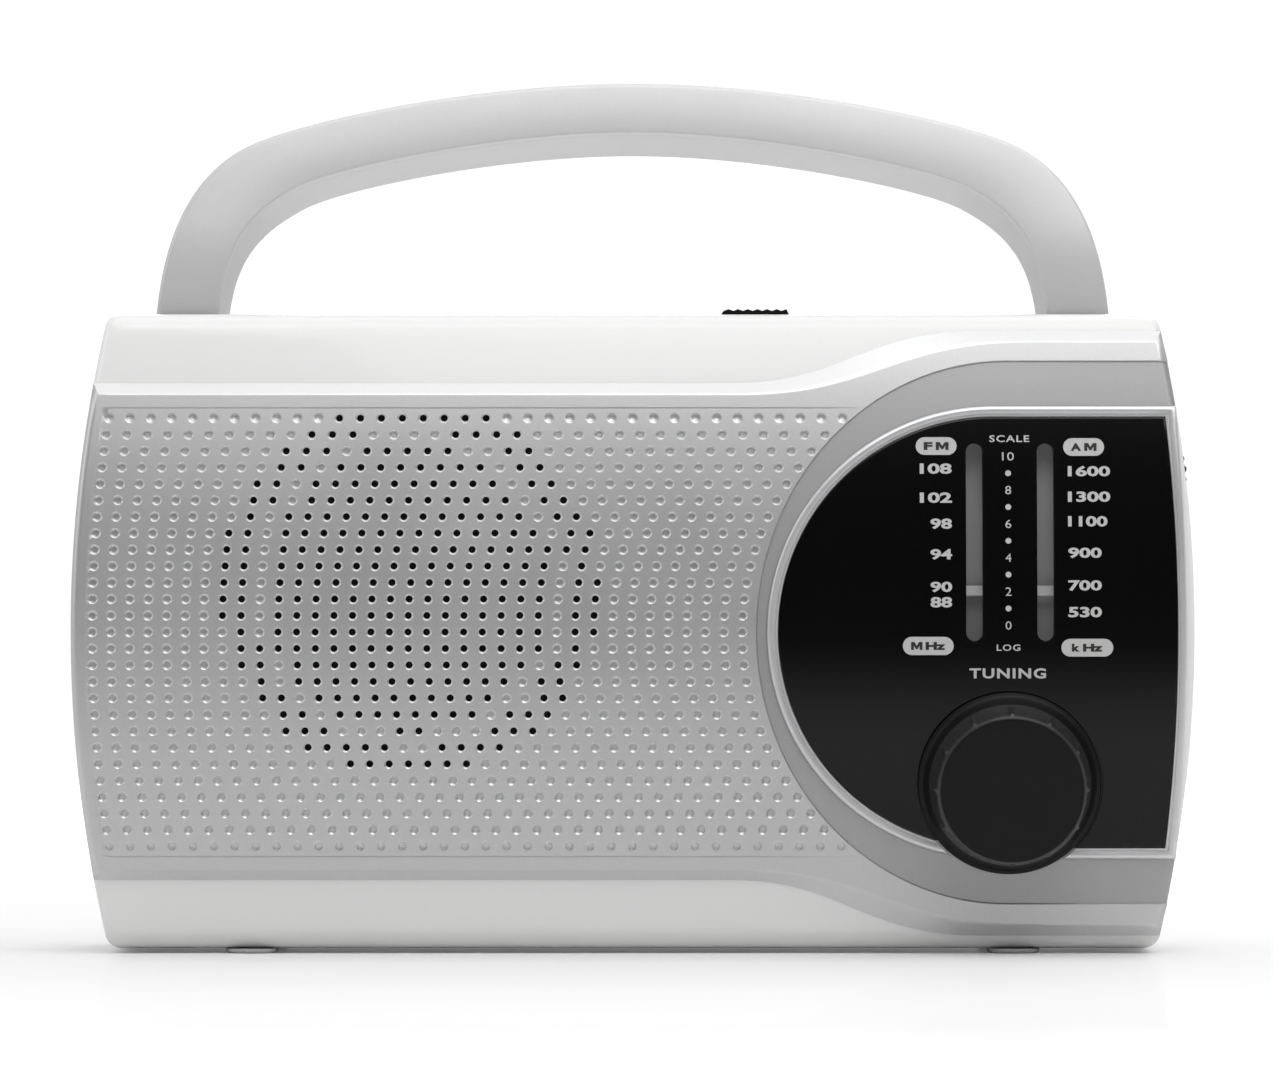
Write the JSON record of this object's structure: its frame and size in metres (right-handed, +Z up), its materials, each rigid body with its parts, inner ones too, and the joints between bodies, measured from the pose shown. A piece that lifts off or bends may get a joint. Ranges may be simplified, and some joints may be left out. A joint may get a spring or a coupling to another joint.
{
  "type": "portable radio",
  "caption": "Portable AM/FM radio with a carry handle: barrel-shaped cabinet, perforated loudspeaker grille, vertical dial with a large tuning knob, telescopic antenna and battery door.",
  "frame": {"origin": "centre of the object's box at the bottom of the feet", "axes": "+Z up, front face towards -Y, +X to the right as seen from the front"},
  "size_m": [0.228, 0.0822, 0.1787],
  "materials": {
    "white_plastic": "glossy white ABS",
    "silver_paint": "fine metallic silver paint on plastic, satin",
    "dark_silver": "darker metallic paint, matt",
    "bright_trim": "bright silver bead, polished",
    "black_gloss": "black glossy acrylic with printed scale",
    "black_satin": "black satin plastic",
    "handle_silver": "satin silver paint on plastic",
    "steel": "plated steel",
    "antenna_chrome": "chrome-plated brass tube",
    "brass": "turned brass",
    "dial_grey": "grey moulded plastic",
    "pointer_white": "pale moulded plastic",
    "pulley_plastic": "natural nylon",
    "thread": "braided dial cord",
    "grille_cloth": "black woven cloth",
    "speaker_paper": "black paper pulp",
    "magnet_ferrite": "sintered ferrite",
    "circuit_board": "phenolic board",
    "component_plastic": "clear-grey moulded case",
    "copper_wire": "enamelled copper wire",
    "winding_tape": "yellow insulating tape",
    "laminations": "stacked iron laminations, varnished",
    "inlet_plastic": "black moulded plastic",
    "rubber": "dark rubber"
  },
  "bodies": {
    "cabinet": {"front_cabinet": "white_plastic", "rear_cover": "white_plastic", "grille_panel": "silver_paint", "dial_surround": "dark_silver", "dial_bead": "bright_trim", "dial_lens": "black_gloss", "grille_cloth": "grille_cloth", "dial_backing_plate": "dial_grey", "pointer_rail": "steel", "idler_pin": "steel", "spindle_bush": "brass", "tuning_capacitor": "component_plastic", "tuning_board": "circuit_board", "dial_cord": "thread", "speaker_basket": "steel", "speaker_cone": "speaker_paper", "speaker_dust_cap": "speaker_paper", "speaker_magnet": "magnet_ferrite", "speaker_screw_1": "steel", "speaker_screw_2": "steel", "speaker_screw_3": "steel", "main_board": "circuit_board", "volume_control": "steel", "ferrite_rod": "magnet_ferrite", "antenna_coil": "copper_wire", "transformer_core": "laminations", "transformer_winding": "winding_tape", "band_switch_body": "steel", "headphone_jack": "inlet_plastic", "inlet_pin_1": "steel", "inlet_pin_2": "steel", "mains_inlet": "inlet_plastic", "battery_spring_1": "steel", "battery_spring_2": "steel", "battery_contact_plate": "steel", "handle_pin_left": "steel", "handle_pin_right": "steel", "foot_1": "rubber", "foot_2": "rubber", "foot_3": "rubber", "foot_4": "rubber", "case_screw_1": "steel", "case_screw_2": "steel", "case_screw_3": "steel", "case_screw_4": "steel"},
    "handle": {"handle_front_shell": "handle_silver", "handle_rear_shell": "handle_silver"},
    "tuning": {"tuning_knob": "black_satin", "tuning_spindle": "brass", "cord_drum": "pulley_plastic"},
    "pointer": {"tuning_pointer": "pointer_white"},
    "idler": {"idler_pulley": "pulley_plastic"},
    "volume": {"volume_thumbwheel": "black_satin"},
    "band_switch": {"band_switch_slider": "black_satin"},
    "door": {"battery_door": "white_plastic"},
    "antenna_base": {"antenna_swivel": "antenna_chrome"},
    "antenna_tube_1": {"antenna_section_1": "antenna_chrome"},
    "antenna_tube_2": {"antenna_section_2": "antenna_chrome"},
    "antenna_tube_3": {"antenna_section_3": "antenna_chrome"},
    "antenna_tube_4": {"antenna_section_4": "antenna_chrome"}
  },
  "joints": [
    {"name": "handle_fold", "type": "hinge", "parent": "cabinet", "child": "handle", "pos_m": [0, 0.006, 0.1245], "axis": [-1, 0, 0], "range_deg": [0, 82]},
    {"name": "tuning_turn", "type": "hinge", "parent": "cabinet", "child": "tuning", "pos_m": [0.0764, -0.0258, 0.0349], "axis": [0, 0.9945, 0.1045], "range_deg": [-37.2, 142.8]},
    {"name": "pointer_slide", "type": "slide", "parent": "cabinet", "child": "pointer", "axis": [0, 0, 1], "range_m": [-0.0072, 0.0273]},
    {"name": "idler_turn", "type": "hinge", "parent": "cabinet", "child": "idler", "pos_m": [0.06948, -0.01685, 0.11], "axis": [0, 1, 0], "range_deg": [-103, 391]},
    {"name": "volume_turn", "type": "hinge", "parent": "cabinet", "child": "volume", "pos_m": [0.1029, -0.0043, 0.098], "axis": [0, 1, 0], "range_deg": [-135, 135]},
    {"name": "band_switch_slide", "type": "slide", "parent": "cabinet", "child": "band_switch", "axis": [1, 0, 0], "range_m": [-0.005, 0.005]},
    {"name": "battery_door_tilt", "type": "hinge", "parent": "cabinet", "child": "door", "pos_m": [0, 0.04005, 0.0074], "axis": [-1, 0, 0], "range_deg": [0, 85]},
    {"name": "antenna_swivel_turn", "type": "hinge", "parent": "cabinet", "child": "antenna_base", "pos_m": [0.1045, 0.037, 0.1114], "axis": [0, 0, -1], "range_deg": [0, 180]},
    {"name": "antenna_tilt", "type": "hinge", "parent": "antenna_base", "child": "antenna_tube_1", "pos_m": [0.1045, 0.037, 0.1114], "axis": [0, 1, 0], "range_deg": [0, 90]},
    {"name": "antenna_slide_2", "type": "slide", "parent": "antenna_tube_1", "child": "antenna_tube_2", "axis": [-1, 0, 0], "range_m": [0, 0.125]},
    {"name": "antenna_slide_3", "type": "slide", "parent": "antenna_tube_2", "child": "antenna_tube_3", "axis": [-1, 0, 0], "range_m": [0, 0.125]},
    {"name": "antenna_slide_4", "type": "slide", "parent": "antenna_tube_3", "child": "antenna_tube_4", "axis": [-1, 0, 0], "range_m": [0, 0.125]}
  ],
  "couplings": [
    {"joint": "pointer_slide", "follows": "tuning_turn", "m_per_rad": 0.010918},
    {"joint": "idler_turn", "follows": "tuning_turn", "ratio": 2.7295}
  ]
}
